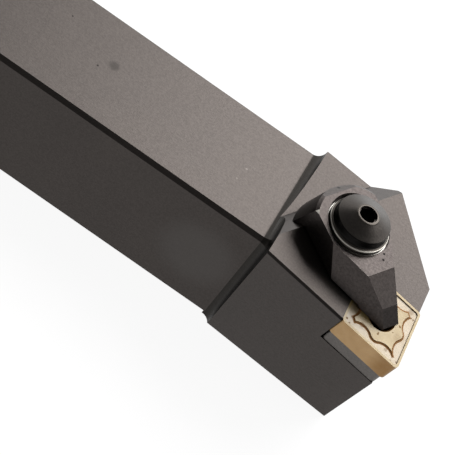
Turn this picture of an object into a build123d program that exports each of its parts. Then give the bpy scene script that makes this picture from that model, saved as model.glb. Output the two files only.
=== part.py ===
"""Left-hand external turning tool holder with a top clamp, an indexable insert and its shim.

Row frame, millimetres: the origin is the middle of the shank's base face, +X runs along the
shank towards the cutting head, +Y is the back of the tool, away from the cut, and +Z is up.
"""
from build123d import *
from math import acos, cos, degrees, radians, sin, tan
import os

os.makedirs("parts", exist_ok=True)

# ---------------------------------------------------------------- driving dimensions
# Shank
shank_width = 25.0
shank_height = 25.0
shank_length = 120.0
shank_chamfer = 0.75

# Head: the sharp tip of the insert is measured from the head's rear wall and the back face
head_length = 30.0
tool_width = 32.0
head_root_radius = 1.9
back_length = 14.3
front_cut_angle = 45.0
side_wall_angle = 5.0
side_wall_lean = 7.0
side_wall_overhang = 1.3
front_wall_relief = 5.5
front_wall_setback = 0.55
deck_edge_chamfer = 0.4

# Seat of the insert: both slopes are negative, so the insert can be turned over
rake_angle = 6.0
inclination_angle = 6.0
approach_angle = 95.0

# Insert and shim
insert_circle = 12.7
insert_corner = 80.0
insert_thickness = 4.76
insert_nose = 0.8
insert_hole = 5.16
insert_hole_chamfer = 0.25
breaker_depth = 0.22
breaker_land = 0.45
pad_corner_run = 2.0
pad_corner_setback = 1.5
pad_waist_setback = 2.2
pad_crest_setback = 1.25
pad_crest_width = 2.2
pad_slope = 50.0
shim_thickness = 3.18
shim_inset = 0.3
shim_bore = 5.6
pocket_relief = 0.9

# Shim screw
shim_screw_thread = 5.0
shim_screw_head = 8.4
shim_screw_sink = 0.25
shim_screw_length = 10.0
shim_screw_hole = 11.0
shim_screw_key = 2.5

# Clamp: the finger reaches from the vertical screw to the insert's hole
clamp_reach = 14.5
clamp_swing = -31.0
clamp_width = 13.0
clamp_height = 5.5
clamp_near_draft = 21.0
clamp_far_draft = 29.0
clamp_heel_radius = 8.46
clamp_heel_centre = -0.4
clamp_heel_draft = 6.5
clamp_heel_chamfer = 0.5
clamp_flank_angle = 24.3
clamp_flank_start = 0.52
clamp_top_front = 8.2
clamp_top_rear = 7.55
clamp_rear_bevel = 40.0
clamp_knee_reach = 14.0
clamp_knee_height = 2.95
clamp_nose_reach = 16.85
clamp_nose_lip = 0.3
clamp_underside = 0.35
clamp_nose_pad = 5.4
heel_reach = 11.0
heel_drop = 2.3
heel_rounding = 2.7
finger_radius = 1.85
finger_depth = 2.2

# Ramp behind the deck, which the clamp's heel slides down
ramp_start = 5.15
ramp_drop = 4.47
ramp_run = 4.0

# Clamp screw, its washer and its lifting spring
screw_thread = 6.0
screw_collar = 11.5
screw_collar_height = 1.1
screw_neck = 10.0
screw_neck_height = 0.85
screw_rim = 4.5
screw_head_height = 3.0
screw_key = 3.0
screw_key_depth = 2.4
screw_key_mouth = 3.5
screw_length = 26.0
screw_tip_chamfer = 0.8
screw_hole_floor = 4.0
screw_collar_chamfer = 0.2
washer_outside = 11.7
washer_bore = 6.4
washer_thickness = 0.45
seat_depth = 0.9
seat_diameter = 12.3
clamp_bore = 6.8
spring_wire = 0.65
spring_outside = 7.9
spring_turns = 3.5
spring_well = 8.5
spring_well_depth = 8.0
spring_ceiling = 1.1

# Clearances between pieces that move apart or slide
thread_clearance = 0.05
contact_gap = 0.05
finger_gap = 0.1

# ---------------------------------------------------------------- frames
tip = Vector(shank_length / 2 + head_length, shank_width / 2 - tool_width, shank_height)
seat_normal = Vector(tan(radians(inclination_angle)), -tan(radians(rake_angle)), 1).normalized()


def along_seat(plan_angle: float) -> Vector:
    """Unit vector in the seat's plane whose plan view points at this angle from +X."""
    x, y = cos(radians(plan_angle)), sin(radians(plan_angle))
    rise = -(seat_normal.X * x + seat_normal.Y * y) / seat_normal.Z
    return Vector(x, y, rise).normalized()


insert_edge = insert_circle / sin(radians(insert_corner))
insert_top = Plane(origin=tip, x_dir=along_seat(approach_angle), z_dir=seat_normal)
pocket_floor = insert_top.offset(-insert_thickness - shim_thickness)
insert_centre_x = insert_edge * (1 + cos(radians(insert_corner))) / 2
insert_centre_y = insert_edge * sin(radians(insert_corner)) / 2
insert_centre = insert_top.from_local_coords(Vector(insert_centre_x, insert_centre_y, 0))

clamp_plan = Vector(cos(radians(clamp_swing)), sin(radians(clamp_swing)), 0)
screw_x = insert_centre.X - clamp_reach * clamp_plan.X
screw_y = insert_centre.Y - clamp_reach * clamp_plan.Y


def deck_height(x: float, y: float) -> float:
    """Height of the insert's top plane, which the deck of the head shares, above this point."""
    return tip.Z - (seat_normal.X * (x - tip.X) + seat_normal.Y * (y - tip.Y)) / seat_normal.Z


deck_z = deck_height(screw_x, screw_y)
deck = Plane(origin=(screw_x, screw_y, deck_z), x_dir=along_seat(clamp_swing), z_dir=seat_normal)
clamp_side = Plane(origin=deck.origin, x_dir=deck.x_dir, z_dir=-deck.y_dir)
clamp_top_z = deck_z + clamp_height / seat_normal.Z
seat_z = clamp_top_z - seat_depth
collar_z = seat_z + washer_thickness
neck_z = collar_z + screw_collar_height
rim_z = neck_z + screw_head_height
well_floor_z = deck_z - spring_well_depth
ceiling_z = deck_z + spring_ceiling
finger_offset = insert_hole / 2 - finger_radius - finger_gap
finger_reach = (insert_centre - deck.origin).dot(deck.x_dir) - finger_offset


# ---------------------------------------------------------------- holder
def rhombus_corners(inset: float) -> list:
    """Corners of the insert's outline in its top plane, moved in by the inset on every side."""
    along = inset / sin(radians(insert_corner)) * (1 + cos(radians(insert_corner)))
    edge = insert_edge - 2 * inset / sin(radians(insert_corner))
    lean = Vector(cos(radians(insert_corner)), sin(radians(insert_corner)))
    first = Vector(along, inset)
    second = first + Vector(edge, 0)
    return [first, second, second + lean * edge, first + lean * edge]


def on_plane(plane: Plane):
    """Test for an edge whose middle lies in the plane."""
    return lambda edge: abs(plane.to_local_coords(edge.center()).Z) < 0.01


side_wall = Plane(
    origin=(shank_length / 2, -shank_width / 2 - side_wall_overhang, 0),
    x_dir=(cos(radians(side_wall_angle)), -sin(radians(side_wall_angle)), 0),
    z_dir=(-tan(radians(side_wall_angle)), -1, -tan(radians(side_wall_lean))),
)
front_wall = Plane(
    origin=(tip.X - front_wall_setback, tip.Y, tip.Z),
    x_dir=(-sin(radians(approach_angle - 90)), cos(radians(approach_angle - 90)), 0),
    z_dir=(1, tan(radians(approach_angle - 90)), -tan(radians(front_wall_relief))),
)

with BuildPart() as root:
    # Hollow root round the end of the shank, kept within the head's side wall
    with BuildLine() as root_path:
        half, low = shank_width / 2, shank_chamfer
        Polyline(
            (shank_length / 2, -half, 0),
            (shank_length / 2, -half, shank_height - low),
            (shank_length / 2, -half + low, shank_height),
            (shank_length / 2, half - low, shank_height),
            (shank_length / 2, half, shank_height - low),
        )
    with BuildSketch(Plane(origin=(shank_length / 2, -half, 0))):
        with BuildLine():
            Line((-head_root_radius, 0), (0, 0))
            Line((0, 0), (0, -head_root_radius))
            RadiusArc((0, -head_root_radius), (-head_root_radius, 0), -head_root_radius)
        make_face()
    sweep(path=root_path.line, transition=Transition.RIGHT)
    split(bisect_by=side_wall, keep=Keep.BOTTOM)
    split(bisect_by=Plane.XZ.offset(-shank_width / 2), keep=Keep.TOP)

with BuildPart() as head:
    # Plan outline of the head, cut off at 45 degrees behind the insert
    cut_run = tool_width + head_length
    with BuildSketch():
        with BuildLine():
            back_end = Vector(shank_length / 2 + back_length, shank_width / 2)
            cut_end = back_end + Vector(
                cut_run * cos(radians(front_cut_angle)), -cut_run * sin(radians(front_cut_angle))
            )
            Polyline(
                (shank_length / 2, shank_width / 2),
                back_end,
                cut_end,
                (shank_length / 2, cut_end.Y),
                close=True,
            )
        make_face()
    extrude(amount=shank_height + head_length)
    split(bisect_by=side_wall, keep=Keep.BOTTOM)
    split(bisect_by=front_wall, keep=Keep.BOTTOM)
    split(bisect_by=deck, keep=Keep.BOTTOM)
    deck_rim = head.edges().filter_by(on_plane(side_wall)).filter_by(on_plane(deck))
    chamfer(deck_rim, deck_edge_chamfer)
    add(root.part)
    # Low rear deck and the ramp that climbs from it to the front deck
    with BuildSketch(clamp_side):
        with BuildLine():
            Polyline(
                (-ramp_start, 0),
                (-ramp_start - ramp_run, -ramp_drop),
                (-ramp_start - 3 * head_length, -ramp_drop),
                (-ramp_start - 3 * head_length, head_length),
                (-ramp_start, head_length),
                close=True,
            )
        make_face()
    extrude(amount=2 * head_length, both=True, mode=Mode.SUBTRACT)
    # Insert pocket, open to the side and the front, with a relief in its inner corner
    with BuildSketch(pocket_floor):
        with BuildLine():
            inner, outer = rhombus_corners(0)[2], rhombus_corners(0)[1]
            run = (inner - outer).normalized() * 2 * insert_edge
            Polyline(
                inner,
                (-insert_edge, inner.Y),
                (-insert_edge, inner.Y - 2 * insert_edge),
                inner - run,
                close=True,
            )
        make_face()
        with Locations(inner):
            Circle(pocket_relief)
    extrude(amount=2 * insert_edge, mode=Mode.SUBTRACT)
    # Tapped hole for the shim screw, square to the pocket floor
    with BuildSketch(pocket_floor):
        with Locations((insert_centre_x, insert_centre_y)):
            Circle(shim_screw_thread / 2)
    extrude(amount=-shim_screw_hole, mode=Mode.SUBTRACT)
    # Upright tapped hole for the clamp screw, with a well for its lifting spring
    with BuildSketch(Plane((screw_x, screw_y, screw_hole_floor))):
        Circle(screw_thread / 2)
    extrude(amount=deck_z, mode=Mode.SUBTRACT)
    with BuildSketch(Plane((screw_x, screw_y, well_floor_z))):
        Circle(spring_well / 2)
    extrude(amount=deck_z, mode=Mode.SUBTRACT)

with BuildPart() as holder:
    # Square shank with its long edges broken
    with BuildSketch(Plane.YZ.offset(-shank_length / 2)):
        with Locations((0, shank_height / 2)):
            Rectangle(shank_width, shank_height)
        chamfer(vertices(), shank_chamfer)
    extrude(amount=shank_length)
    chamfer(holder.faces().sort_by(Axis.X)[0].edges(), shank_chamfer)
    add(head.part)

holder.part.label = "holder"
export_step(holder.part, "parts/holder.step")


# ---------------------------------------------------------------- insert, shim and shim screw
def pad_sides() -> list:
    """Key points of the raised pad's outline, as one list for each side of the insert."""
    half, shoulder = insert_edge / 2, (insert_edge - pad_crest_width) / 2
    shoulder_setback = (pad_waist_setback + pad_crest_setback) / 2
    wave = [
        (pad_corner_run, pad_corner_setback),
        ((pad_corner_run + shoulder) / 2, pad_waist_setback),
        (shoulder, shoulder_setback),
        (half, pad_crest_setback),
    ]
    wave += [(insert_edge - x, y) for x, y in reversed(wave[:-1])]
    turns = [0, insert_corner, 180, 180 + insert_corner]
    return [
        [corner + Vector(x, y).rotate(Axis.Z, turn) for x, y in wave]
        for corner, turn in zip(rhombus_corners(0), turns)
    ]


with BuildPart() as insert:
    with BuildSketch(insert_top):
        Polygon(*rhombus_corners(0), align=None)
        fillet(vertices(), insert_nose)
    extrude(amount=-insert_thickness)
    # On both faces a groove follows the land at the edge, and a wavy pad rises round the hole
    flipped = Plane(
        origin=insert_top.from_local_coords(Vector(0, 0, -insert_thickness)),
        x_dir=insert_top.rotated((0, 0, insert_corner)).x_dir,
        z_dir=-seat_normal,
    )
    for face in (insert_top, flipped):
        with BuildSketch(face.offset(-breaker_depth)):
            Polygon(*rhombus_corners(breaker_land), align=None)
            fillet(vertices(), insert_nose - breaker_land / 2)
        extrude(amount=breaker_depth, mode=Mode.SUBTRACT)
        with BuildSketch(face.offset(-breaker_depth)):
            with BuildLine():
                sides = pad_sides()
                for side, following in zip(sides, sides[1:] + sides[:1]):
                    ThreePointArc(*side[0:3])
                    ThreePointArc(*side[2:5])
                    ThreePointArc(*side[4:7])
                    Line(side[-1], following[0])
            make_face()
        extrude(amount=breaker_depth, taper=pad_slope)
    with Locations(Location(insert_top) * Pos(insert_centre_x, insert_centre_y)):
        Hole(insert_hole / 2)
    rims = insert.edges().filter_by(lambda e: e.geom_type == GeomType.CIRCLE)
    chamfer(rims.filter_by(lambda e: abs(e.radius - insert_hole / 2) < 0.01), insert_hole_chamfer)

insert.part.label = "insert"
export_step(insert.part, "parts/insert.step")

with BuildPart() as shim:
    with BuildSketch(pocket_floor):
        Polygon(*rhombus_corners(shim_inset), align=None)
        fillet(vertices(), insert_nose)
    extrude(amount=shim_thickness)
    with Locations(Location(pocket_floor) * Pos(insert_centre_x, insert_centre_y, shim_thickness)):
        CounterSinkHole(shim_bore / 2, shim_screw_head / 2 + shim_screw_sink, counter_sink_angle=90)

shim.part.label = "shim"
export_step(shim.part, "parts/shim.step")

with BuildPart() as shim_screw:
    # Half section, with x as the radius and y up the screw's axis from the pocket floor
    section = Plane(
        origin=pocket_floor.from_local_coords(Vector(insert_centre_x, insert_centre_y, 0)),
        x_dir=pocket_floor.x_dir,
        z_dir=-pocket_floor.y_dir,
    )
    with BuildSketch(section):
        with BuildLine():
            top = shim_thickness - shim_screw_sink
            thread, rim = shim_screw_thread / 2 - thread_clearance, shim_screw_head / 2
            Polyline(
                (0, top),
                (rim, top),
                (thread, top - rim + thread),
                (thread, -shim_screw_length),
                (0, -shim_screw_length),
                close=True,
            )
        make_face()
    revolve(axis=Axis(section.origin, seat_normal))
    with BuildSketch(pocket_floor.offset(top)):
        with Locations((insert_centre_x, insert_centre_y)):
            RegularPolygon(shim_screw_key / 2, 6, major_radius=False)
    extrude(amount=-shim_screw_key, mode=Mode.SUBTRACT)

shim_screw.part.label = "shim_screw"
export_step(shim_screw.part, "parts/shim_screw.step")


# ---------------------------------------------------------------- clamp
def on_ramp(height: float) -> float:
    """Reach of the clamp's heel face at this height over the deck, just clear of the ramp."""
    return -ramp_start + height * ramp_run / ramp_drop - contact_gap


with BuildPart() as clamp:
    # Side view: nose on the insert, flat top, rear bevel and the heel behind the ramp
    with BuildSketch(clamp_side):
        with BuildLine():
            bevel_drop = (heel_reach - clamp_top_rear) * tan(radians(clamp_rear_bevel))
            Polyline(
                (clamp_nose_reach, contact_gap),
                (clamp_nose_reach, contact_gap + clamp_nose_lip),
                (clamp_knee_reach, clamp_knee_height),
                (clamp_top_front, clamp_height),
                (-clamp_top_rear, clamp_height),
                (-heel_reach, clamp_height - bevel_drop),
                (-heel_reach, -heel_drop),
                (on_ramp(-heel_drop), -heel_drop),
                (on_ramp(clamp_underside), clamp_underside),
                (clamp_nose_reach - clamp_nose_pad, clamp_underside),
                (clamp_nose_reach - clamp_nose_pad, contact_gap),
                close=True,
            )
        make_face()
        fillet(vertices().group_by(Axis.Y)[0].sort_by(Axis.X)[0], heel_rounding)
    extrude(amount=clamp_width / 2, both=True)
    # Straight flanks that close to the nose, each with its own draft
    for side, draft in ((-1, clamp_near_draft), (1, clamp_far_draft)):
        outward = Vector(sin(radians(clamp_flank_angle)), side * cos(radians(clamp_flank_angle)))
        outward = outward * cos(radians(draft)) + Vector(0, 0, sin(radians(draft)))
        corner = Vector(clamp_flank_start, side * clamp_width / 2, clamp_height)
        flank = Plane(
            origin=deck.from_local_coords(corner),
            z_dir=deck.x_dir * outward.X + deck.y_dir * outward.Y + deck.z_dir * outward.Z,
        )
        split(bisect_by=flank, keep=Keep.BOTTOM)
    # Round heel, drafted like a forging, with its top corners broken
    base = heel_drop + 1
    heel = clamp_heel_radius + (base + clamp_height) * tan(radians(clamp_heel_draft))
    with BuildSketch(deck.offset(-base)):
        with Locations((clamp_heel_centre, 0)):
            Circle(heel)
            Rectangle(2 * clamp_nose_reach, 2 * heel, align=(Align.MIN, Align.CENTER))
    extrude(amount=base + clamp_height, taper=clamp_heel_draft, mode=Mode.INTERSECT)
    corners = clamp.edges().filter_by(on_plane(deck.offset(clamp_height))).filter_by(GeomType.CIRCLE)
    chamfer(corners, clamp_heel_chamfer)
    # Finger that drops into the insert's hole and draws it into the pocket
    with BuildSketch(Plane(deck.from_local_coords(Vector(finger_reach, 0, clamp_underside)))):
        Circle(finger_radius)
    extrude(amount=-finger_depth - clamp_underside)
    # Upright bore with a spot face for the washer and a recess for the spring
    with BuildSketch(Plane((screw_x, screw_y, 0))):
        Circle(clamp_bore / 2)
    extrude(amount=rim_z, mode=Mode.SUBTRACT)
    with BuildSketch(Plane((screw_x, screw_y, seat_z))):
        Circle(seat_diameter / 2)
    extrude(amount=clamp_height, mode=Mode.SUBTRACT)
    with BuildSketch(Plane((screw_x, screw_y, ceiling_z))):
        Circle(spring_well / 2)
    extrude(amount=-ceiling_z, mode=Mode.SUBTRACT)

clamp.part.label = "clamp"
export_step(clamp.part, "parts/clamp.step")


# ---------------------------------------------------------------- clamp screw, washer and spring
with BuildPart() as clamp_washer:
    with BuildSketch(Plane((screw_x, screw_y, seat_z))):
        Circle(washer_outside / 2)
        Circle(washer_bore / 2, mode=Mode.SUBTRACT)
    extrude(amount=washer_thickness)

clamp_washer.part.label = "clamp_washer"
export_step(clamp_washer.part, "parts/clamp_washer.step")

with BuildPart() as clamp_screw:
    # Half section: threaded shank, collar, steep neck and conical head
    with BuildSketch(Plane(origin=(screw_x, screw_y, 0), x_dir=(1, 0, 0), z_dir=(0, -1, 0))):
        with BuildLine():
            thread, collar = screw_thread / 2 - thread_clearance, screw_collar / 2
            foot = collar_z - screw_length
            Polyline(
                (0, rim_z),
                (0, foot),
                (thread - screw_tip_chamfer, foot),
                (thread, foot + screw_tip_chamfer),
                (thread, collar_z),
                (collar, collar_z),
                (collar, neck_z - screw_collar_chamfer),
                (collar - screw_collar_chamfer, neck_z),
                (screw_neck / 2 + screw_collar_chamfer, neck_z),
                (screw_neck / 2, neck_z + screw_neck_height),
                (screw_rim / 2, rim_z),
                close=True,
            )
        make_face()
    revolve(axis=Axis((screw_x, screw_y, 0), (0, 0, 1)))
    # Hexagon socket with a round mouth
    with BuildSketch(Plane((screw_x, screw_y, rim_z))):
        RegularPolygon(screw_key / 2, 6, major_radius=False)
    extrude(amount=-screw_key_depth, mode=Mode.SUBTRACT)
    with BuildSketch(Plane((screw_x, screw_y, rim_z))):
        Circle(screw_key_mouth / 2)
    extrude(amount=-(screw_key_mouth - screw_key), taper=45, mode=Mode.SUBTRACT)

clamp_screw.part.label = "clamp_screw"
export_step(clamp_screw.part, "parts/clamp_screw.step")

with BuildPart() as clamp_spring:
    coil = (spring_outside - spring_wire) / 2
    rise = ceiling_z - well_floor_z
    with BuildLine():
        Helix(rise / spring_turns, rise, coil, center=(screw_x, screw_y, well_floor_z))
    with BuildSketch(Plane(origin=(screw_x + coil, screw_y, well_floor_z), z_dir=(0, 1, 0))):
        Rectangle(spring_wire, spring_wire)
    sweep()
    # Ground ends
    split(bisect_by=Plane.XY.offset(well_floor_z), keep=Keep.TOP)
    split(bisect_by=Plane.XY.offset(ceiling_z), keep=Keep.BOTTOM)

clamp_spring.part.label = "clamp_spring"
export_step(clamp_spring.part, "parts/clamp_spring.step")
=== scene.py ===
"""Looks, studio and camera of a left-hand turning tool holder.

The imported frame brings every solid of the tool. This script gives each of them its finish, breaks
the edges of the holder, the clamp, the insert and the spring's wire, turns the clamp screw with
its fine steps, and sets up the light and the camera.
"""

import logging
import math
from dataclasses import dataclass
from enum import Enum
from typing import Callable, Dict, Optional, Sequence, Tuple, Union

import bpy
from mathutils import Matrix, Vector


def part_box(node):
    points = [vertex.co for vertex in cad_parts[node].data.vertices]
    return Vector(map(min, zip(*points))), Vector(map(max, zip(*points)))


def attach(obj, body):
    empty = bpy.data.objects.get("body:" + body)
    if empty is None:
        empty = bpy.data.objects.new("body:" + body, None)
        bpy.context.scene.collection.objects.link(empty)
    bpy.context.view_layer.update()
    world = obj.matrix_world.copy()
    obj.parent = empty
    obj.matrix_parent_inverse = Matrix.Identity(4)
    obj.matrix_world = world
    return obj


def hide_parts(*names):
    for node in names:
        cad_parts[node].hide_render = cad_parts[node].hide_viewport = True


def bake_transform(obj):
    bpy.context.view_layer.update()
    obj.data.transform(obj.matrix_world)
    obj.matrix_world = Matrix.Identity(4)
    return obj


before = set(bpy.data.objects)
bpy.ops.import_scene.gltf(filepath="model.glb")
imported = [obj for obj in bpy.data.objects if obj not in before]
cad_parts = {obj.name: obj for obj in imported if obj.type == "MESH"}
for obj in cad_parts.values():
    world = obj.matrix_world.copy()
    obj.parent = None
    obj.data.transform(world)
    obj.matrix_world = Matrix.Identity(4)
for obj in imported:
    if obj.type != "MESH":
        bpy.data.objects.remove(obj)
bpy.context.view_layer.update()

log = logging.getLogger("turning_tool")

# Metres in a millimetre, the distance at which corners join, and the strips across a broken edge
MM = 0.001
JOIN_MM = 0.002
EDGE_STRIPS = 2

Colour = Tuple[float, float, float, float]
Triple = Tuple[float, float, float]
Pair = Tuple[float, float]


# ---------------------------------------------------------------- helpers
def linear(code: str) -> Colour:
    """Turn an sRGB hex code into a linear colour.

    Args:
        code: Six hex digits, such as "3f3c3a".

    Returns:
        The linear red, green, blue and an alpha of one.
    """
    channels = [int(code[i:i + 2], 16) / 255 for i in (0, 2, 4)]
    red, green, blue = (
        v / 12.92 if v <= 0.04045 else ((v + 0.055) / 1.055) ** 2.4 for v in channels
    )
    return (red, green, blue, 1.0)


def within(value: float, span: Pair) -> bool:
    """Say whether a value lies between two limits."""
    return span[0] < value < span[1]


def add_node(
    tree: bpy.types.NodeTree,
    kind: str,
    settings: Optional[Dict[str, object]] = None,
    values: Optional[Dict[object, object]] = None,
    links: Optional[Dict[object, bpy.types.NodeSocket]] = None,
) -> bpy.types.Node:
    """Add one node with its settings, socket values and incoming links.

    Args:
        tree: Node tree that takes the node.
        kind: Node type, such as "ShaderNodeTexNoise".
        settings: Attributes of the node itself.
        values: Default values by input name or number.
        links: Output sockets to join to the inputs, by input name or number.

    Returns:
        The new node.
    """
    node = tree.nodes.new(kind)
    for name, value in (settings or {}).items():
        setattr(node, name, value)
    for name, value in (values or {}).items():
        node.inputs[name].default_value = value
    for name, socket in (links or {}).items():
        tree.links.new(socket, node.inputs[name])
    return node


def blank_material(name: str) -> Tuple[bpy.types.Material, bpy.types.NodeTree]:
    """Make an empty node material.

    Args:
        name: Name of the material.

    Returns:
        The material and its cleared node tree.
    """
    material = bpy.data.materials.new(name)
    material.use_nodes = True
    material.node_tree.nodes.clear()
    return material, material.node_tree


def dress(piece: bpy.types.Object, *materials: bpy.types.Material) -> None:
    """Give an object its materials.

    Args:
        piece: Object that takes them.
        materials: Its finishes, in the order of its slots.
    """
    piece.data.materials.clear()
    for material in materials:
        piece.data.materials.append(material)


def pick(piece: bpy.types.Object) -> None:
    """Make the object the only selected one and the active one.

    Args:
        piece: Object that the next operators work on.
    """
    bpy.ops.object.select_all(action="DESELECT")
    piece.select_set(True)
    bpy.context.view_layer.objects.active = piece


def merged_copy(node: str, name: str, flat_degrees: float = 0.4) -> bpy.types.Object:
    """Copy a solid of the frame as a clean mesh with joined corners and whole flat faces.

    Args:
        node: Name of the solid.
        name: Name of the copy.
        flat_degrees: Largest angle between triangles that become one face.

    Returns:
        The new object.
    """
    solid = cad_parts[node]
    piece = bpy.data.objects.new(name, solid.data.copy())
    bpy.context.scene.collection.objects.link(piece)
    piece.data.transform(solid.matrix_world)
    pick(piece)
    bpy.ops.object.mode_set(mode="EDIT")
    bpy.ops.mesh.customdata_custom_splitnormals_clear()
    bpy.ops.mesh.select_all(action="SELECT")
    bpy.ops.mesh.remove_doubles(threshold=JOIN_MM * MM)
    bpy.ops.mesh.dissolve_limited(angle_limit=math.radians(flat_degrees))
    bpy.ops.mesh.select_all(action="DESELECT")
    bpy.ops.object.mode_set(mode="OBJECT")
    return piece


def even_shading(piece: bpy.types.Object, angle: float) -> None:
    """Smooth a piece so that its large faces stay flat to the eye.

    Args:
        piece: Object that is smoothed.
        angle: Least angle in degrees that stays sharp.
    """
    pick(piece)
    bpy.ops.object.shade_smooth_by_angle(angle=math.radians(angle))
    weigh = piece.modifiers.new("face weighted normals", "WEIGHTED_NORMAL")
    weigh.mode = "FACE_AREA"
    # At 100 the largest face alone gives a corner its normal
    weigh.weight = 100
    weigh.keep_sharp = True
    bpy.ops.object.modifier_apply(modifier=weigh.name)


def break_edges(piece: bpy.types.Object, width_mm: float, angle: float) -> None:
    """Round the sharp edges of a piece and smooth what lies between them.

    Args:
        piece: Object whose edges are broken.
        width_mm: Width of the rounding.
        angle: Least angle in degrees that counts as an edge.
    """
    pick(piece)
    bevel = piece.modifiers.new("broken edges", "BEVEL")
    bevel.width = width_mm * MM
    bevel.segments = EDGE_STRIPS
    bevel.limit_method = "ANGLE"
    bevel.angle_limit = math.radians(angle)
    bevel.use_clamp_overlap = True
    bevel.miter_outer = "MITER_ARC"
    bpy.ops.object.modifier_apply(modifier=bevel.name)
    even_shading(piece, angle)


def paint_faces(
    piece: bpy.types.Object, slot: int, test: Callable[[Vector, Vector], bool]
) -> None:
    """Move the faces that pass a test to another material slot.

    Args:
        piece: Object whose faces are looked at.
        slot: Number of the slot.
        test: Says yes or no for a face's centre in millimetres and its normal.
    """
    for face in piece.data.polygons:
        if test(face.center / MM, face.normal):
            face.material_index = slot


# ---------------------------------------------------------------- places on the head
# Slopes of the deck and swing of the clamp, in degrees
RAKE = 6.0
INCLINATION = 6.0
CLAMP_SWING = -31.0

# The screw's axis and the height at which it meets the deck, in millimetres. The spring stands on
# the floor of a well in the deck.
screw_low, screw_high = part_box("clamp_screw")
spring_low, spring_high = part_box("clamp_spring")
SCREW_X = (screw_low[0] + screw_high[0]) / 2 / MM
SCREW_Y = (screw_low[1] + screw_high[1]) / 2 / MM
SPRING_WELL_DEPTH = 8.0
DECK_Z = spring_low[2] / MM + SPRING_WELL_DEPTH


@dataclass(frozen=True)
class Deck:
    """Frame of the sloping deck, with its origin where the clamp screw's axis meets it."""

    origin: Vector = Vector((SCREW_X, SCREW_Y, DECK_Z))

    @property
    def normal(self) -> Vector:
        """Direction square to the deck."""
        slope = Vector((math.tan(math.radians(INCLINATION)), -math.tan(math.radians(RAKE)), 1))
        return slope.normalized()

    @property
    def along(self) -> Vector:
        """Direction in the deck from the screw to the nose of the clamp.

        Returns:
            A vector of length one.
        """
        x, y = math.cos(math.radians(CLAMP_SWING)), math.sin(math.radians(CLAMP_SWING))
        rise = -(self.normal.x * x + self.normal.y * y) / self.normal.z
        return Vector((x, y, rise)).normalized()

    @property
    def across(self) -> Vector:
        """Direction in the deck at right angles to the clamp."""
        return self.normal.cross(self.along)

    def local(self, point: Vector) -> Vector:
        """Return a point in millimetres as along, across and above the deck."""
        way = point - self.origin
        return Vector((way.dot(self.along), way.dot(self.across), way.dot(self.normal)))


# ---------------------------------------------------------------- finishes
class Lay(Enum):
    """Way in which a steel face was worked."""

    GROUND_ALONG = "fine lines along the tool"
    BLASTED = "even satin grain"
    TURNED = "rings round the screw's axis"


@dataclass(frozen=True)
class Mark:
    """One small mark on the surface: a stain, a scrape, a painted shade or a painted reflection.

    It is whole within core radii and gone at fade radii. In height it goes reach times as far.
    """

    place_mm: Triple
    radius_mm: float
    colour: str
    strength: float = 1.0
    reach: float = 5.0
    core: float = 0.5
    fade: float = 1.3

    def cover(
        self, tree: bpy.types.NodeTree, place: bpy.types.NodeSocket
    ) -> bpy.types.NodeSocket:
        """Add the soft-edged spot of the mark.

        Args:
            tree: Node tree of the material.
            place: Coordinates on the object.

        Returns:
            The share that the mark covers, from 0 to 1.
        """
        # Height counts for less, so that a mark crosses shallow relief
        flat = add_node(
            tree, "ShaderNodeMapping", settings={"vector_type": "TEXTURE"},
            values={"Location": tuple(v * MM for v in self.place_mm), "Scale": (1, 1, self.reach)},
            links={"Vector": place},
        )
        away = add_node(
            tree, "ShaderNodeVectorMath", settings={"operation": "LENGTH"},
            links={0: flat.outputs["Vector"]},
        )
        return add_node(
            tree, "ShaderNodeMapRange", settings={"interpolation_type": "SMOOTHSTEP"},
            values={
                "From Min": self.core * self.radius_mm * MM,
                "From Max": self.fade * self.radius_mm * MM,
                "To Min": self.strength,
                "To Max": 0.0,
            },
            links={"Value": away.outputs["Value"]},
        ).outputs["Result"]

    def tint(
        self, tree: bpy.types.NodeTree, cover: bpy.types.NodeSocket, skin: bpy.types.NodeSocket
    ) -> bpy.types.NodeSocket:
        """Lay the mark's colour over another.

        Args:
            tree: Node tree of the material.
            cover: The share that the mark covers.
            skin: Colour that the mark lies on.

        Returns:
            The colour with the mark.
        """
        return add_node(
            tree, "ShaderNodeMix", settings={"data_type": "RGBA"},
            values={7: linear(self.colour)}, links={0: cover, 6: skin},
        ).outputs[2]


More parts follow.
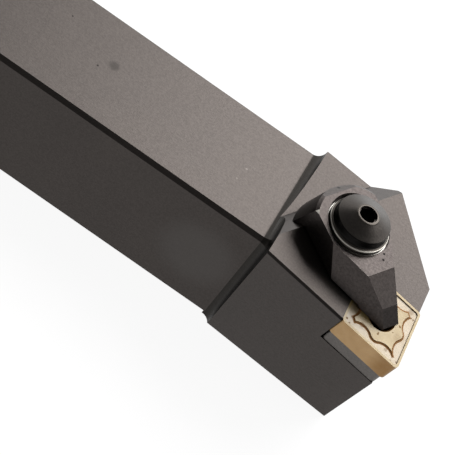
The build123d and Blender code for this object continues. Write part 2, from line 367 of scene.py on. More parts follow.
@dataclass(frozen=True)
class BlackenedSteel:
    """Hardened tool steel, ground, blasted or turned and then blackened in hot oxide.

    The oxide takes nearly all the light, so the colour is a brown-black that shows as taupe only
    where a face mirrors the softbox. The work's own grain stays visible through the thin skin.
    """

    name: str
    lay: Lay
    colour: str = "3f3b38"
    pale: str = "47423f"
    roughness: float = 0.34
    grain_mm: float = 0.35
    line_mm: float = 0.45
    line_stretch: float = 0.03
    ring_mm: float = 2.2
    mottle_mm: float = 16.0
    relief: float = 0.22
    relief_mm: float = 0.05
    speck_gap_mm: float = 9.0
    speck_mm: float = 0.22
    grain_tone: float = 0.12
    marks: Tuple[Mark, ...] = ()

    def lay_pattern(
        self, tree: bpy.types.NodeTree, place: bpy.types.NodeSocket
    ) -> bpy.types.NodeSocket:
        """Add the pattern that the last cut left.

        Args:
            tree: Node tree of the material.
            place: Coordinates on the object.

        Returns:
            The height of the pattern, from 0 to 1.
        """
        if self.lay is Lay.TURNED:
            # Turning rings 0.1 mm apart would vanish, so they are drawn as soft rings 2.2 mm apart.
            # The wave node fits 20 / (2 pi) rings into a length of one at a scale of one.
            centred = add_node(
                tree, "ShaderNodeMapping",
                values={"Location": (-SCREW_X * MM, -SCREW_Y * MM, 0)}, links={"Vector": place},
            )
            return add_node(
                tree, "ShaderNodeTexWave",
                settings={"wave_type": "RINGS", "rings_direction": "Z"},
                values={
                    "Scale": 2 * math.pi / (20 * self.ring_mm * MM),
                    "Distortion": 0.4,
                    "Detail": 1.0,
                },
                links={"Vector": centred.outputs["Vector"]},
            ).outputs["Fac"]
        # Grinding lines and blasting grain of about 0.05 mm are drawn 0.35 to 0.5 mm wide so that
        # they show
        ground = self.lay is Lay.GROUND_ALONG
        stretch = (self.line_stretch, 1.0, 1.0) if ground else (1.0, 1.0, 1.0)
        size = self.line_mm if ground else self.grain_mm
        drawn = add_node(
            tree, "ShaderNodeMapping", values={"Scale": stretch}, links={"Vector": place}
        )
        return add_node(
            tree, "ShaderNodeTexNoise",
            values={"Scale": 1 / (size * MM), "Detail": 2.0, "Roughness": 0.6},
            links={"Vector": drawn.outputs["Vector"]},
        ).outputs["Fac"]

    def build(self) -> bpy.types.Material:
        """Build the node material of this finish.

        Returns:
            The new material.
        """
        material, tree = blank_material(self.name)
        place = add_node(tree, "ShaderNodeTexCoord").outputs["Object"]
        pattern = self.lay_pattern(tree, place)
        grain = add_node(
            tree, "ShaderNodeTexNoise",
            values={"Scale": 1 / (self.grain_mm * MM), "Detail": 3.0, "Roughness": 0.7},
            links={"Vector": place},
        )
        mottle = add_node(
            tree, "ShaderNodeTexNoise",
            values={"Scale": 1 / (self.mottle_mm * MM), "Detail": 4.0, "Roughness": 0.55},
            links={"Vector": place},
        )
        tone = add_node(
            tree, "ShaderNodeMix", settings={"data_type": "RGBA"},
            values={6: linear(self.colour), 7: linear(self.pale)},
            links={0: mottle.outputs["Fac"]},
        )
        # Rare pits where the oxide is thick, drawn a little coarser than they are, black to 0.3 of
        # their radius
        pits = add_node(
            tree, "ShaderNodeTexVoronoi",
            values={"Scale": 1 / (self.speck_gap_mm * MM), "Randomness": 1.0},
            links={"Vector": place},
        )
        pit = add_node(
            tree, "ShaderNodeMapRange",
            values={
                "From Min": 0.3 * self.speck_mm / self.speck_gap_mm,
                "From Max": self.speck_mm / self.speck_gap_mm,
            },
            links={"Value": pits.outputs["Distance"]},
        )
        skin = add_node(
            tree, "ShaderNodeMix", settings={"data_type": "RGBA"},
            values={6: linear("0c0b0b")},
            links={0: pit.outputs["Result"], 7: tone.outputs[2]},
        )
        # The satin grain also varies the tone a little, over the range that the noise mostly fills
        fleck = add_node(
            tree, "ShaderNodeMapRange",
            values={
                "From Min": 0.35, "From Max": 0.65,
                "To Min": 1 - self.grain_tone, "To Max": 1 + self.grain_tone,
            },
            links={"Value": grain.outputs["Fac"]},
        )
        skin = add_node(
            tree, "ShaderNodeVectorMath", settings={"operation": "SCALE"},
            links={0: skin.outputs[2], "Scale": fleck.outputs["Result"]},
        ).outputs["Vector"]
        for mark in self.marks:
            skin = mark.tint(tree, mark.cover(tree, place), skin)
        rough = add_node(
            tree, "ShaderNodeMapRange",
            values={"To Min": self.roughness - 0.04, "To Max": self.roughness + 0.05},
            links={"Value": mottle.outputs["Fac"]},
        )
        height = add_node(
            tree, "ShaderNodeMath", settings={"operation": "ADD"},
            links={0: pattern, 1: grain.outputs["Fac"]},
        )
        relief = add_node(
            tree, "ShaderNodeBump",
            values={"Strength": self.relief, "Distance": self.relief_mm * MM},
            links={"Height": height.outputs[0]},
        )
        surface = add_node(
            tree, "ShaderNodeBsdfPrincipled",
            values={"Metallic": 1.0},
            links={
                "Base Color": skin,
                "Roughness": rough.outputs["Result"],
                "Normal": relief.outputs["Normal"],
            },
        )
        add_node(tree, "ShaderNodeOutputMaterial", links={"Surface": surface.outputs["BSDF"]})
        return material


@dataclass(frozen=True)
class WornSteel:
    """Bare steel where handling or the spanner has rubbed the oxide off.

    Patches of the dark oxide stay in between, so an edge glints in short broken lines. Laid pale
    on an edge of the holder, the clamp and the screw's collar, it is a painted highlight.
    """

    name: str
    bare: str = "8f8a85"
    oxide: str = "3f3b38"
    roughness: float = 0.3
    patch_mm: float = 1.6
    patch_blur: float = 0.05
    bare_share: float = 0.5

    def build(self) -> bpy.types.Material:
        """Build the node material of this finish.

        Returns:
            The new material.
        """
        material, tree = blank_material(self.name)
        place = add_node(tree, "ShaderNodeTexCoord").outputs["Object"]
        patch = add_node(
            tree, "ShaderNodeTexNoise",
            values={"Scale": 1 / (self.patch_mm * MM), "Detail": 4.0, "Roughness": 0.65},
            links={"Vector": place},
        )
        # The noise lies mostly between 0.38 and 0.62, and steel is bare above this level of it
        level = 0.62 - 0.24 * self.bare_share
        shown = add_node(
            tree, "ShaderNodeMapRange",
            values={"From Min": level - self.patch_blur, "From Max": level + self.patch_blur},
            links={"Value": patch.outputs["Fac"]},
        )
        tone = add_node(
            tree, "ShaderNodeMix", settings={"data_type": "RGBA"},
            values={6: linear(self.oxide), 7: linear(self.bare)},
            links={0: shown.outputs["Result"]},
        )
        surface = add_node(
            tree, "ShaderNodeBsdfPrincipled",
            values={"Metallic": 1.0, "Roughness": self.roughness},
            links={"Base Color": tone.outputs[2]},
        )
        add_node(tree, "ShaderNodeOutputMaterial", links={"Surface": surface.outputs["BSDF"]})
        return material


@dataclass(frozen=True)
class GroundCarbide(BlackenedSteel):
    """Bare sintered carbide, ground to size.

    It has the same fine grain as the steel, and shows as a satin grey paler than the oxide.
    """

    name: str = "ground sintered carbide"
    lay: Lay = Lay.BLASTED
    colour: str = "605c59"
    pale: str = "6b6764"
    roughness: float = 0.42


@dataclass(frozen=True)
class ZincPlate(WornSteel):
    """Bright zinc plated on stamped steel, which shows as a thin pale ring."""

    name: str = "zinc plated washer"
    bare: str = "b9b6b0"
    bare_share: float = 1.6


@dataclass(frozen=True)
class SpringWire(WornSteel):
    """Drawn spring steel with no oxide on it, greyer than the zinc."""

    name: str = "drawn spring wire"
    bare: str = "9c9890"
    bare_share: float = 1.6


@dataclass(frozen=True)
class NitrideCoating:
    """Gold titanium nitride on sintered carbide, satin from the pressed and blasted surface.

    The blasted metal scatters a soft gold, and the smooth coating over it adds a pale sheen where
    a face mirrors the light.
    """

    name: str
    colour: str = "a8854f"
    deep: str = "9a7440"
    roughness: float = 0.6
    coat: float = 1.0
    coat_roughness: float = 0.28
    coat_ior: float = 1.75
    grain_mm: float = 0.3
    cloud_mm: float = 2.6
    relief_mm: float = 0.03
    marks: Tuple[Mark, ...] = ()

    def build(self) -> bpy.types.Material:
        """Build the node material of this finish.

        Returns:
            The new material.
        """
        material, tree = blank_material(self.name)
        place = add_node(tree, "ShaderNodeTexCoord").outputs["Object"]
        grain = add_node(
            tree, "ShaderNodeTexNoise",
            values={"Scale": 1 / (self.grain_mm * MM), "Detail": 3.0, "Roughness": 0.7},
            links={"Vector": place},
        )
        cloud = add_node(
            tree, "ShaderNodeTexNoise",
            values={"Scale": 1 / (self.cloud_mm * MM), "Detail": 4.0, "Roughness": 0.6},
            links={"Vector": place},
        )
        tone = add_node(
            tree, "ShaderNodeMix", settings={"data_type": "RGBA"},
            values={6: linear(self.deep), 7: linear(self.colour)},
            links={0: cloud.outputs["Fac"]},
        )
        skin = tone.outputs[2]
        sheen = add_node(
            tree, "ShaderNodeMapRange",
            values={
                "From Min": 0.3, "From Max": 0.6,
                "To Min": 0.8 * self.coat, "To Max": self.coat,
            },
            links={"Value": cloud.outputs["Fac"]},
        ).outputs["Result"]
        for mark in self.marks:
            cover = mark.cover(tree, place)
            skin = mark.tint(tree, cover, skin)
            # The coat's sheen is weakened where a mark lies, so that a stain and a painted shade
            # show
            sheen = add_node(
                tree, "ShaderNodeMath", settings={"operation": "SUBTRACT", "use_clamp": True},
                links={0: sheen, 1: cover},
            ).outputs[0]
        relief = add_node(
            tree, "ShaderNodeBump",
            values={"Strength": 0.15, "Distance": self.relief_mm * MM},
            links={"Height": grain.outputs["Fac"]},
        )
        surface = add_node(
            tree, "ShaderNodeBsdfPrincipled",
            values={
                "Metallic": 1.0,
                "Roughness": self.roughness,
                "Coat Roughness": self.coat_roughness,
                "Coat IOR": self.coat_ior,
            },
            links={
                "Base Color": skin,
                "Coat Weight": sheen,
                "Normal": relief.outputs["Normal"],
            },
        )
        add_node(tree, "ShaderNodeOutputMaterial", links={"Surface": surface.outputs["BSDF"]})
        return material


# ---------------------------------------------------------------- the tool
@dataclass
class Holder:
    """The shank and head: a softened copy of the solid, blackened, with one edge rubbed bare and
    painted bright as a highlight, and painted shade in its shoulder's fillet.

    The spans say where the shoulder's fillet lies, and where the deck's edge beside the pocket
    does: by its place, its height above the deck and the share of its normal square to the deck.
    """

    edge_mm: float = 0.07
    edge_angle: float = 20.0
    fillet_x: Pair = (58.1, 60.05)
    fillet_facing: float = -0.15
    highlight_x: Pair = (72.0, 75.5)
    highlight_y: float = -15.0
    highlight_rise: Pair = (-0.5, 0.05)
    rubbed_tilt: Pair = (0.2, 0.98)
    # A pit, a stain and two pale scrapes on the shank's top, and a pale cloud of painted reflection
    # on its side
    marks: Tuple[Mark, ...] = (
        Mark((17.6, -0.8, 25), 0.22, "0d0c0c", 0.8),
        Mark((20.0, 1.4, 25), 1.1, "2a2826", 0.6),
        Mark((48.9, -3.9, 25), 0.2, "5f5a57", 0.6),
        Mark((49.5, -0.7, 25), 0.25, "5f5a57", 0.6),
        # Painted reflection: the pale cloud on the side face
        Mark((50.8, -12.5, 12.1), 7.5, "524f4d", 0.55, reach=1.0),
    )

    def build(self) -> bpy.types.Object:
        """Build the piece and dress it.

        Returns:
            The finished piece, riding on its body.
        """
        piece = merged_copy("holder", "holder_body")
        dress(
            piece,
            BlackenedSteel(
                "ground blackened holder steel", Lay.GROUND_ALONG, colour="403c3a", pale="4a4542",
                marks=self.marks,
            ).build(),
            # Painted highlight: pale, rough bare steel on the deck's edge beside the pocket, where
            # it glints
            WornSteel(
                "rubbed edge of the holder with painted highlight", bare="dad6ce", bare_share=1.0, roughness=0.6,
            ).build(),
            # Painted shade: the fillet between the shank and the head is darker than the rest of
            # the holder
            BlackenedSteel(
                "painted shade in the shoulder fillet", Lay.GROUND_ALONG, colour="2a2826",
                pale="35322f", roughness=0.38,
            ).build(),
        )
        break_edges(piece, self.edge_mm, self.edge_angle)
        # Painted highlight on the deck's edge beside the pocket
        paint_faces(piece, 1, self.is_rubbed)
        # Painted shade in the fillet between the shank and the head
        paint_faces(piece, 2, self.is_shaded_fillet)
        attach(piece, "tool")
        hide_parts("holder")
        return piece

    def is_shaded_fillet(self, centre: Vector, normal: Vector) -> bool:
        """Say whether a face lies in the fillet between the shank and the head, painted in shade.
        """
        return within(centre.x, self.fillet_x) and normal.x < self.fillet_facing

    def is_rubbed(self, centre: Vector, normal: Vector) -> bool:
        """Say whether a face lies on the deck's edge beside the pocket.

        Args:
            centre: Centre of the face in millimetres.
            normal: Its normal.

        Returns:
            True for a face that is rubbed bare and painted bright as a highlight.
        """
        near_deck = within(Deck().local(centre).z, self.highlight_rise)
        on_edge = within(abs(normal.dot(Deck().normal)), self.rubbed_tilt)
        by_pocket = centre.y < self.highlight_y and within(centre.x, self.highlight_x)
        return near_deck and on_edge and by_pocket


@dataclass
class Clamp:
    """The forged clamp: a softened copy of the solid with a painted highlight along its top edge.

    The highlighted edge, rubbed bare and painted bright, is found by its height above the deck, its
    place along and across the clamp, and the share of its normal square to the deck.
    """

    edge_mm: float = 0.14
    edge_angle: float = 14.0
    highlight_height: float = 5.2
    highlight_along: Pair = (-6.0, 8.0)
    highlight_across: float = -2.0
    worn_tilt: Pair = (0.3, 0.985)
    # Two pits on the top in front of the screw and one behind it
    marks: Tuple[Mark, ...] = (
        Mark((76.99, -6.52, 33.29), 0.24, "0d0c0c"),
        Mark((77.39, -7.67, 33.13), 0.26, "0d0c0c"),
        Mark((64.2, -0.74, 34.2), 0.3, "0d0c0c"),
    )

    def build(self) -> bpy.types.Object:
        """Build the piece and dress it.

        Returns:
            The finished piece, riding on its body.
        """
        piece = merged_copy("clamp", "clamp_forging")
        dress(
            piece,
            BlackenedSteel(
                "blasted blackened clamp steel", Lay.BLASTED, colour="403c3a", pale="4b4543",
                grain_mm=0.5, grain_tone=0.2, marks=self.marks,
            ).build(),
            # Painted highlight: pale, rough bare steel along the near top edge, where it glints
            WornSteel(
                "rubbed edge of the clamp with painted highlight", bare="dad6ce", bare_share=1.2, roughness=0.6,
            ).build(),
        )
        break_edges(piece, self.edge_mm, self.edge_angle)
        # Painted highlight along the near top edge
        paint_faces(piece, 1, self.is_rubbed)
        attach(piece, "top_clamp")
        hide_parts("clamp")
        return piece

    def is_rubbed(self, centre: Vector, normal: Vector) -> bool:
        """Say whether a face lies on the near top edge, beside the screw.

        Args:
            centre: Centre of the face in millimetres.
            normal: Its normal.

        Returns:
            True for a face that is rubbed bare and painted bright as a highlight.
        """
        place = Deck().local(centre)
        on_edge = place.z > self.highlight_height and within(normal.dot(Deck().normal), self.worn_tilt)
        by_screw = place.y < self.highlight_across and within(place.x, self.highlight_along)
        return on_edge and by_screw


@dataclass
class ClampScrew:
    """The clamp screw, turned step by step, with a broached hexagon socket.

    Its foot and its rim stand where the solid's do, and its collar lies on the washer.
    """

    foot_z: float = screw_low[2] / MM
    collar_z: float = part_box("clamp_washer")[1][2] / MM
    collar_height: float = 1.1
    rim_z: float = screw_high[2] / MM
    foot_chamfer: float = 0.8
    thread_radius: float = 2.95
    root_radius: float = 2.4
    pitch: float = 1.0
    thread_turns: int = 15
    # Shares of the pitch at which the crest ends, and the root begins and ends
    thread_shape: Triple = (0.1, 0.5, 0.6)
    collar_radius: float = 5.75
    collar_break: float = 0.12
    # Round of the collar's upper corner, as the way in from its wall and the height above neck_z
    collar_round: Tuple[Pair, ...] = ((0.0, -0.42), (0.06, -0.30), (0.18, -0.25))
    # Slope of the collar, hollow of the neck and foot of the cone: radius and height above neck_z
    neck_steps: Tuple[Pair, ...] = (
        (5.38, -0.19), (5.24, -0.12), (5.16, 0.02), (5.13, 0.24), (5.12, 0.80), (5.11, 1.42),
        (5.04, 1.54), (4.88, 1.63),
    )
    # Round at the top of the cone: radius and height above rim_z
    rim_steps: Tuple[Pair, ...] = ((2.34, -0.16), (2.20, -0.06), (2.08, 0.0))
    mouth_radius: float = 1.75
    mouth_depth: float = 0.5
    key_mm: float = 3.0
    key_depth: float = 2.4
    cutter_rise: float = 1.0
    steps: int = 64
    shade_angle: float = 28.0
    # Where the painted highlight, the rubbed faces and the painted shade of the neck lie, as radii
    # and heights above neck_z or rim_z
    corner_width: float = 0.2
    corner_rise: Pair = (-0.41, 0.0)
    rim_inset: float = 0.02
    rim_height: float = 0.08
    slope_radius: float = 5.18
    slope_inset: float = 0.19
    slope_rise: Pair = (-0.3, 0.3)
    slope_facing: float = 0.5
    neck_radius: Pair = (5.0, 5.21)
    neck_rise: Pair = (-0.12, 1.5)

    @property
    def neck_z(self) -> float:
        """Height of the collar's top, where the neck begins."""
        return self.collar_z + self.collar_height

    def profile(self) -> Sequence[Pair]:
        """Lay out the screw's outline, from its foot up to its rim.

        Returns:
            Radius and height of each corner.
        """
        threads = []
        for turn in range(self.thread_turns):
            # Each turn of the thread is drawn as a closed ring
            foot = self.foot_z + self.foot_chamfer + turn * self.pitch
            crest, root_start, root_end = (foot + share * self.pitch for share in self.thread_shape)
            threads += [
                (self.thread_radius, crest),
                (self.root_radius, root_start),
                (self.root_radius, root_end),
                (self.thread_radius, foot + self.pitch),
            ]
        return [
            (self.thread_radius - self.foot_chamfer, self.foot_z),
            (self.thread_radius, self.foot_z + self.foot_chamfer),
            *threads,
            (self.thread_radius, self.collar_z),
            (self.collar_radius - self.collar_break, self.collar_z),
            (self.collar_radius, self.collar_z + self.collar_break),
            *((self.collar_radius - way_in, self.neck_z + rise)
              for way_in, rise in self.collar_round),
            *((radius, self.neck_z + rise) for radius, rise in self.neck_steps),
            *((radius, self.rim_z + rise) for radius, rise in self.rim_steps),
            (self.mouth_radius, self.rim_z),
        ]

    @staticmethod
    def radius_of(point: Vector) -> float:
        """Return how far a point lies from the screw's axis."""
        return math.hypot(point.x - SCREW_X, point.y - SCREW_Y)

    def turn(self) -> bpy.types.Object:
        """Turn the body ring by ring.

        Returns:
            The turned body, with no socket yet.
        """
        outline = self.profile()
        bpy.ops.object.select_all(action="DESELECT")
        first = outline[0]
        bpy.ops.mesh.primitive_circle_add(
            vertices=self.steps, radius=first[0] * MM, fill_type="NGON",
            location=(SCREW_X * MM, SCREW_Y * MM, first[1] * MM),
        )
        piece = bpy.context.object
        piece.name = "clamp_screw_body"
        bpy.ops.object.transform_apply(location=True, rotation=True, scale=True)
        bpy.ops.object.mode_set(mode="EDIT")
        bpy.ops.mesh.select_all(action="SELECT")
        for (r0, z0), (r1, z1) in zip(outline, outline[1:]):
            bpy.ops.mesh.extrude_region_move(
                TRANSFORM_OT_translate={"value": (0, 0, (z1 - z0) * MM)}
            )
            bpy.ops.transform.resize(
                value=(r1 / r0, r1 / r0, 1),
                center_override=(SCREW_X * MM, SCREW_Y * MM, z1 * MM),
            )
        bpy.ops.mesh.select_all(action="SELECT")
        bpy.ops.mesh.normals_make_consistent(inside=False)
        bpy.ops.mesh.select_all(action="DESELECT")
        bpy.ops.object.mode_set(mode="OBJECT")
        return piece

    def broach(self, piece: bpy.types.Object) -> None:
        """Cut the hexagon socket with its round mouth.

        Args:
            piece: The turned body.
        """
        key_radius = self.key_mm / 2 / math.cos(math.pi / 6)
        cutters = (
            (6, key_radius, self.key_depth),
            (self.steps, self.mouth_radius, self.mouth_depth),
        )
        for corners, radius, depth in cutters:
            foot, top = self.rim_z - depth, self.rim_z + self.cutter_rise
            bpy.ops.object.select_all(action="DESELECT")
            bpy.ops.mesh.primitive_cylinder_add(
                vertices=corners, radius=radius * MM, depth=(top - foot) * MM,
                location=(SCREW_X * MM, SCREW_Y * MM, (foot + top) / 2 * MM),
            )
            cutter = bpy.context.object
            pick(piece)
            cut = piece.modifiers.new("socket", "BOOLEAN")
            cut.operation = "DIFFERENCE"
            cut.solver = "EXACT"
            cut.object = cutter
            bpy.ops.object.modifier_apply(modifier=cut.name)
            bpy.data.objects.remove(cutter, do_unlink=True)

    def build(self) -> bpy.types.Object:
        """Build the piece and dress it.

        Returns:
            The finished piece, riding on its body.
        """
        piece = self.turn()
        self.broach(piece)
        dress(
            piece,
            BlackenedSteel(
                "turned blackened screw steel", Lay.TURNED, colour="393633", pale="423e3b",
                roughness=0.32, speck_gap_mm=30.0,
            ).build(),
            # Painted highlight: pale bare steel on the collar's outer corner, where it glints
            WornSteel("painted highlight on the screw's collar edge", bare="a8a49c", bare_share=1.3).build(),
            # Painted shade: the hollow between the collar and the cone is near black
            BlackenedSteel(
                "painted shade in the screw's neck", Lay.TURNED, colour="151413", pale="1b1a19",
                roughness=0.3, speck_gap_mm=30.0,
            ).build(),
            WornSteel("rubbed rim and collar of the screw", bare="45413d", bare_share=1.5).build(),
        )
        # Painted highlight on the collar's outer corner
        paint_faces(piece, 1, self.is_painted_highlight)
        # Painted shade in the hollow between the collar and the cone
        paint_faces(piece, 2, self.is_shaded_neck)
        paint_faces(piece, 3, self.is_rubbed)
        even_shading(piece, self.shade_angle)
        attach(piece, "top_screw")
        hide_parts("clamp_screw")
        return piece

    def is_painted_highlight(self, centre: Vector, normal: Vector) -> bool:
        """Say whether a face lies on the collar's outer corner, painted as a highlight."""
        at_wall = self.radius_of(centre) > self.collar_radius - self.corner_width
        return at_wall and within(centre.z - self.neck_z, self.corner_rise)

    def is_rubbed(self, centre: Vector, normal: Vector) -> bool:
        """Say whether a face lies on the rim or on the sloping top of the collar.

        Args:
            centre: Centre of the face in millimetres.
            normal: Its normal.

        Returns:
            True for a face whose oxide is rubbed thin.
        """
        radius = self.radius_of(centre)
        on_top = centre.z > self.rim_z - self.rim_height
        on_rim = on_top and radius > self.mouth_radius + self.rim_inset
        on_collar = within(radius, (self.slope_radius, self.collar_radius - self.slope_inset))
        on_slope = within(centre.z - self.neck_z, self.slope_rise) and normal.z > self.slope_facing
        return on_rim or (on_collar and on_slope)

    def is_shaded_neck(self, centre: Vector, normal: Vector) -> bool:
        """Say whether a face lies in the hollow between the collar and the cone, painted in shade.
        """
        at_wall = within(self.radius_of(centre), self.neck_radius)
        return at_wall and within(centre.z - self.neck_z, self.neck_rise)


@dataclass
class Insert:
    """The indexable insert: a softened copy of the solid with its gold coating, painted shade on
    the wall round its pads and a paler copy of the coating as painted sheen on its flat face.

    The tilts are shares of a face's normal square to the insert's faces, and top_centre is the
    middle of the plane of its upper pad.
    """

    edge_mm: float = 0.05
    edge_angle: float = 30.0
    flat_degrees: float = 0.2
    wall_edge_mm: float = 0.16
    thickness: float = 4.76
    pad_height: float = 0.22
    top_centre: Triple = (83.053, -12.628, 26.452)
    wall_tilt: Pair = (0.3, 0.93)
    face_tilt: float = 0.93
    stain_and_dot_shade_colour: str = "5a3c1e"
    # Place, radius and strength of each stain, and of the painted shade that stands for the small
    # pressed dots of the upper face
    # Painted shade: the small pressed dots are drawn as dark brown spots that stand for their
    # dimples
    stains_and_dot_shade: Tuple[Tuple[Triple, float, float], ...] = (
        ((77.8, -17.4, 26.5), 0.24, 0.90),
        ((78.6, -17.9, 26.4), 0.22, 0.80),
        ((78.5, -16.5, 26.5), 0.30, 0.50),
        ((87.7, -8.7, 26.4), 0.20, 0.95),
        ((88.2, -8.7, 26.3), 0.18, 0.95),
        ((88.1, -18.7, 25.3), 0.22, 0.60),
        ((89.2, -18.2, 25.2), 0.18, 0.80),
        ((83.9, -16.1, 26.0), 0.20, 0.80),
        ((83.9, -15.8, 26.0), 0.18, 0.70),
        ((86.6, -11.8, 26.2), 0.18, 0.80),
        ((86.8, -11.9, 26.1), 0.18, 0.80),
        ((86.1, -13.8, 26.0), 0.14, 0.80),
        ((80.7, -16.6, 26.3), 0.45, 0.45),
        ((86.5, -17.5, 25.6), 0.40, 0.40),
        ((87.2, -7.7, 26.5), 0.60, 0.30),
        ((87.2, -14.1, 25.9), 0.90, 0.14),
    )
    # Darker patch on the flank by the cutting corner
    flank_mark: Mark = Mark((89.6, -20.4, 23.0), 4.2, "7d5527", 0.5)

    def build(self) -> bpy.types.Object:
        """Build the piece and dress it.

        Returns:
            The finished piece, riding on its body.
        """
        piece = merged_copy("insert", "insert_body", self.flat_degrees)
        dress(
            piece,
            NitrideCoating(
                "gold nitride flank", colour="bd9448", deep="a67c38", marks=(self.flank_mark,),
            ).build(),
            # Painted shade: the steep wall round the pads is a dull brown with little sheen
            NitrideCoating(
                "painted shade on the breaker wall", colour="9c7245", deep="856036", coat=0.2, roughness=0.7,
            ).build(),
            # Painted sheen: the flat face round the pads takes a paler copy of the pad's coating
            NitrideCoating(
                "nitride groove, paler as painted sheen", colour="9a8a70", deep="85724e", coat_ior=1.72,
                marks=self.face_marks(),
            ).build(),
            NitrideCoating(
                "yellow nitride pad", colour="968250", deep="7b6434", coat_ior=1.66,
                marks=self.face_marks(),
            ).build(),
        )
        # Painted sheen on the flat face round the pads
        paint_faces(piece, 2, self.is_face)
        paint_faces(piece, 3, self.is_pad)
        # Painted shade on the steep wall round the pads
        paint_faces(piece, 1, self.is_shaded_wall)
        self.soften_walls(piece)
        break_edges(piece, self.edge_mm, self.edge_angle)
        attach(piece, "tool")
        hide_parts("insert")
        return piece

    def face_marks(self) -> Tuple[Mark, ...]:
        """Return each stain and the painted shade of the small pressed dots of the upper face."""
        return tuple(
            Mark(place, radius, self.stain_and_dot_shade_colour, strength)
            for place, radius, strength in self.stains_and_dot_shade
        )

    def soften_walls(self, piece: bpy.types.Object) -> None:
        """Round the foot and the crest of the wall round the raised pad, widening its painted
        shade.

        Args:
            piece: The insert, with its wall faces in slot 1, the slot of the painted shade.
        """
        pick(piece)
        for face in piece.data.polygons:
            face.select = face.material_index == 1
        bpy.ops.object.mode_set(mode="EDIT")
        bpy.ops.mesh.region_to_loop()
        bpy.ops.mesh.bevel(
            offset=self.wall_edge_mm * MM, segments=EDGE_STRIPS, material=1, clamp_overlap=False
        )
        bpy.ops.mesh.select_all(action="DESELECT")
        bpy.ops.object.mode_set(mode="OBJECT")

    def is_shaded_wall(self, centre: Vector, normal: Vector) -> bool:
        """Say whether a face is the steep wall round the raised pad, painted in shade."""
        return within(abs(normal.dot(Deck().normal)), self.wall_tilt)

    def is_pad(self, centre: Vector, normal: Vector) -> bool:
        """Say whether a face is the top of a raised pad.

        Args:
            centre: Centre of the face in millimetres.
            normal: Its normal.

        Returns:
            True for a face of the upper or the lower pad.
        """
        height = (centre - Vector(self.top_centre)).dot(Deck().normal) + self.thickness / 2
        raised = abs(height) > self.thickness / 2 - self.pad_height / 2
        return raised and self.is_face(centre, normal)

    def is_face(self, centre: Vector, normal: Vector) -> bool:
        """Say whether a face belongs to the upper or lower side of the insert."""
        return abs(normal.dot(Deck().normal)) > self.face_tilt


@dataclass
class LiftSpring:
    """The coil spring under the clamp, whose top follows the clamp as it lifts."""

    edge_mm: float = 0.2
    edge_angle: float = 40.0

    def build(self) -> bpy.types.Object:
        """Build the piece and dress it.

        Returns:
            The finished piece, in its place.
        """
        piece = merged_copy("clamp_spring", "spring_coil")
        dress(piece, SpringWire().build())
        break_edges(piece, self.edge_mm, self.edge_angle)
        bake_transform(piece)
        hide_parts("clamp_spring")
        return piece


@dataclass
class AsPacked:
    """A small solid that is shown as the frame brings it, in a finish of its own."""

    node: str
    finish: Union[BlackenedSteel, WornSteel]

    def build(self) -> bpy.types.Object:
        """Dress the solid.

        Returns:
            The solid itself, in its place.
        """
        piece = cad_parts[self.node]
        dress(piece, self.finish.build())
        return piece


SMALL_PARTS: Tuple[AsPacked, ...] = (
    AsPacked("shim", GroundCarbide()),
    AsPacked("shim_screw", BlackenedSteel("blackened shim screw steel", Lay.BLASTED)),
    AsPacked("clamp_washer", ZincPlate()),
)


# ---------------------------------------------------------------- studio
@dataclass(frozen=True)
class Softbox:
    """One rectangular softbox, with its place and the place that it faces."""

    name: str
    place_mm: Triple
    width_mm: float
    height_mm: float
    radiance: float
    aim_mm: Triple = (70, -5, 25)

    def build(self) -> bpy.types.Object:
        """Hang the lamp.

        Returns:
            The lamp, hidden from the camera.
        """
        way = (Vector(self.place_mm) - Vector(self.aim_mm)).normalized()
        data = bpy.data.lights.new(self.name, "AREA")
        data.shape = "RECTANGLE"
        data.size, data.size_y = self.width_mm * MM, self.height_mm * MM
        data.energy = self.radiance * math.pi * data.size * data.size_y
        lamp = bpy.data.objects.new(self.name, data)
        bpy.context.scene.collection.objects.link(lamp)
        lamp.location = Vector(self.place_mm) * MM
        lamp.rotation_euler = (-way).to_track_quat("-Z", "Y").to_euler()
        lamp.visible_camera = False
        return lamp


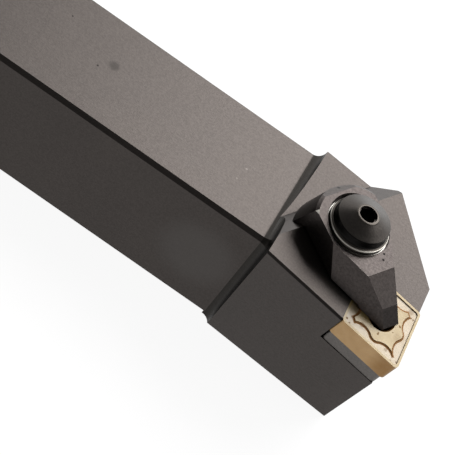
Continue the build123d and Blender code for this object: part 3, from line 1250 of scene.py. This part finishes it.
@dataclass
class Studio:
    """Pale floor, weak surrounding light and soft lamps."""

    floor_size_mm: float = 3200.0
    floor_drop_mm: float = 0.02
    floor_paint: float = 0.14
    floor_glow: float = 0.92
    floor_mirrored: float = 0.86
    ambient: float = 0.2
    lamps: Tuple[Softbox, ...] = (
        Softbox("key softbox", (298, 468, 629), 640, 430, 5.4),
        Softbox("back softbox", (-10, 225, 152), 640, 300, 1.8, aim_mm=(-10, 0, 152)),
        Softbox("side softbox", (756, 91, 425), 420, 420, 1.5),
    )

    def build_floor(self) -> bpy.types.Object:
        """Lay the floor just under the tool.

        Returns:
            The floor, in its paint.
        """
        bpy.ops.object.select_all(action="DESELECT")
        bpy.ops.mesh.primitive_plane_add(
            size=self.floor_size_mm * MM, location=(0, 0, -self.floor_drop_mm * MM)
        )
        floor = bpy.context.object
        floor.name = "floor"
        material, tree = blank_material("pale studio floor")
        path = add_node(tree, "ShaderNodeLightPath")
        # Polished metal shows the floor a little duller than the eye does
        mirrored = add_node(
            tree, "ShaderNodeMath", settings={"operation": "MULTIPLY"},
            values={1: self.floor_mirrored}, links={0: path.outputs["Is Glossy Ray"]},
        )
        seen = add_node(
            tree, "ShaderNodeMath", settings={"operation": "MAXIMUM"},
            links={0: path.outputs["Is Camera Ray"], 1: mirrored.outputs[0]},
        )
        seen = add_node(
            tree, "ShaderNodeMath", settings={"operation": "MAXIMUM"},
            links={0: seen.outputs[0], 1: path.outputs["Is Transmission Ray"]},
        )
        strength = add_node(
            tree, "ShaderNodeMath", settings={"operation": "MULTIPLY"},
            values={1: self.floor_glow}, links={0: seen.outputs[0]},
        )
        paint = add_node(
            tree, "ShaderNodeBsdfDiffuse",
            values={"Color": (self.floor_paint, self.floor_paint, self.floor_paint, 1)},
        )
        glow = add_node(
            tree, "ShaderNodeEmission", values={"Color": (1, 1, 1, 1)},
            links={"Strength": strength.outputs[0]},
        )
        both = add_node(
            tree, "ShaderNodeAddShader", links={0: paint.outputs[0], 1: glow.outputs[0]}
        )
        add_node(tree, "ShaderNodeOutputMaterial", links={"Surface": both.outputs[0]})
        dress(floor, material)
        return floor

    def build_world(self) -> None:
        """Set the even light that comes from all round."""
        world = bpy.data.worlds.new("studio")
        bpy.context.scene.world = world
        world.use_nodes = True
        tree = world.node_tree
        tree.nodes.clear()
        # The backdrop is white to the eye alone, and its light on the tool is weak
        path = add_node(tree, "ShaderNodeLightPath")
        level = add_node(
            tree, "ShaderNodeMapRange", values={"To Min": self.ambient, "To Max": 1.0},
            links={"Value": path.outputs["Is Camera Ray"]},
        )
        sky = add_node(
            tree, "ShaderNodeBackground", values={"Color": (1, 1, 1, 1)},
            links={"Strength": level.outputs["Result"]},
        )
        add_node(tree, "ShaderNodeOutputWorld", links={"Surface": sky.outputs[0]})

    def build(self) -> None:
        """Build the whole studio."""
        self.build_world()
        self.build_floor()
        for lamp in self.lamps:
            lamp.build()


@dataclass
class Camera:
    """The camera, aimed by its angles round the tool, in degrees."""

    azimuth: float = -4.551
    elevation: float = 47.253
    roll: float = 38.211
    distance_mm: float = 476.2
    target_mm: Triple = (52.744, -6.834, 16.313)
    focal_length: float = 212.69
    sensor_mm: float = 36.0
    reach_mm: Pair = (10.0, 20000.0)

    def build(self) -> bpy.types.Object:
        """Add the camera and make it the scene's own.

        Returns:
            The camera.
        """
        turn, tilt, roll = (math.radians(v) for v in (self.azimuth, self.elevation, self.roll))
        level = Vector((math.cos(turn), math.sin(turn), 0))
        lean = math.cos(tilt)
        back = Vector((math.sin(turn) * lean, -math.cos(turn) * lean, math.sin(tilt)))
        upright = back.cross(level)
        right = level * math.cos(roll) + upright * math.sin(roll)
        up = upright * math.cos(roll) - level * math.sin(roll)
        data = bpy.data.cameras.new("camera")
        data.sensor_width = self.sensor_mm
        data.lens = self.focal_length
        data.clip_start, data.clip_end = (reach * MM for reach in self.reach_mm)
        camera = bpy.data.objects.new("camera", data)
        bpy.context.scene.collection.objects.link(camera)
        camera.matrix_world = Matrix((right, up, back)).transposed().to_4x4()
        camera.location = (Vector(self.target_mm) + back * self.distance_mm) * MM
        bpy.context.scene.camera = camera
        return camera


def main() -> None:
    """Build the tool's pieces and the studio, in order."""
    logging.basicConfig(level=logging.INFO, format="%(message)s")
    for maker in (Holder(), Clamp(), ClampScrew(), Insert(), LiftSpring(), *SMALL_PARTS):
        piece = maker.build()
        log.info("%s: %d faces", piece.name, len(piece.data.polygons))
    Studio().build()
    Camera().build()
    bpy.context.scene.view_settings.view_transform = "Standard"


if __name__ == "__main__":
    main()
